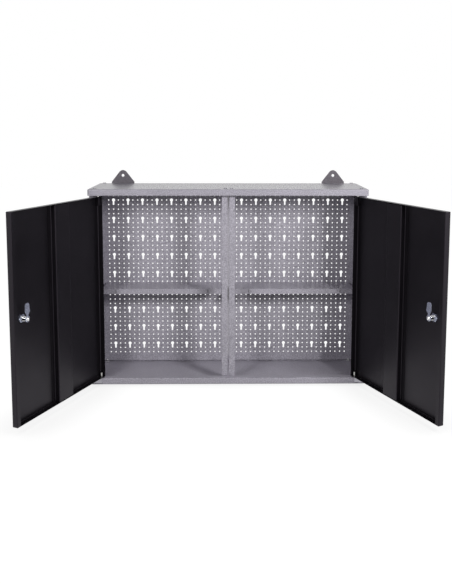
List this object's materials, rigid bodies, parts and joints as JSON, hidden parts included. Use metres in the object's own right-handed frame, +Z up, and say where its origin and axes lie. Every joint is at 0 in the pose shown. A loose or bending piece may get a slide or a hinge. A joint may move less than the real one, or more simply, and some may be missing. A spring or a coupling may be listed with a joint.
{
  "type": "wall tool cabinet",
  "caption": "Shallow wall cabinet of sheet steel with two open doors, perforated keyhole back panels, a shelf in each half, hanging ears, pin hinges and cam locks.",
  "frame": {"origin": "middle of the case's base, on the surface that it stands on", "axes": "+X to the viewer's right across the width, -Y out of the open front, +Z up"},
  "size_m": [1.054, 0.5299, 0.6125],
  "materials": {
    "case_coat": "light grey hammertone powder coat, semi-gloss",
    "ear_coat": "darker grey powder coat, semi-gloss",
    "door_coat": "black gloss powder coat with fine orange peel",
    "zinc": "bright zinc plate",
    "lock_chrome": "bright nickel-chrome plate on die casting"
  },
  "bodies": {
    "cabinet": {"top_panel": "case_coat", "bottom_panel": "case_coat", "side_panel_left": "case_coat", "side_panel_right": "case_coat", "centre_post_left": "case_coat", "centre_post_right": "case_coat", "back_panel_left": "case_coat", "back_panel_right": "case_coat", "shelf_left": "case_coat", "shelf_right": "case_coat", "shelf_gussets_left": "case_coat", "shelf_gussets_right": "case_coat", "hanging_ear_left": "ear_coat", "hanging_ear_right": "ear_coat", "hinge_brackets_left": "zinc", "hinge_brackets_right": "zinc"},
    "left_door": {"door_left": "door_coat", "door_stiffener_left": "door_coat", "lock_barrel_left": "lock_chrome", "lock_nut_left": "zinc"},
    "left_lock": {"lock_plug_left": "lock_chrome", "lock_cam_left": "zinc"},
    "right_door": {"door_right": "door_coat", "door_stiffener_right": "door_coat", "lock_barrel_right": "lock_chrome", "lock_nut_right": "zinc"},
    "right_lock": {"lock_plug_right": "lock_chrome", "lock_cam_right": "zinc"}
  },
  "joints": [
    {"name": "left_door_hinge", "type": "hinge", "parent": "cabinet", "child": "left_door", "pos_m": [-0.3705, -0.09, 0.2853], "axis": [0, 0, 1], "range_deg": [-66, 114]},
    {"name": "right_door_hinge", "type": "hinge", "parent": "cabinet", "child": "right_door", "pos_m": [0.3705, -0.09, 0.2853], "axis": [0, 0, -1], "range_deg": [-66, 114]},
    {"name": "left_lock_turn", "type": "hinge", "parent": "left_door", "child": "left_lock", "pos_m": [-0.5033, -0.38827, 0.282], "axis": [0.9135, -0.4067, 0], "range_deg": [0, 90]},
    {"name": "right_lock_turn", "type": "hinge", "parent": "right_door", "child": "right_lock", "pos_m": [0.5033, -0.38827, 0.282], "axis": [0.9135, 0.4067, 0], "range_deg": [0, 90]}
  ]
}
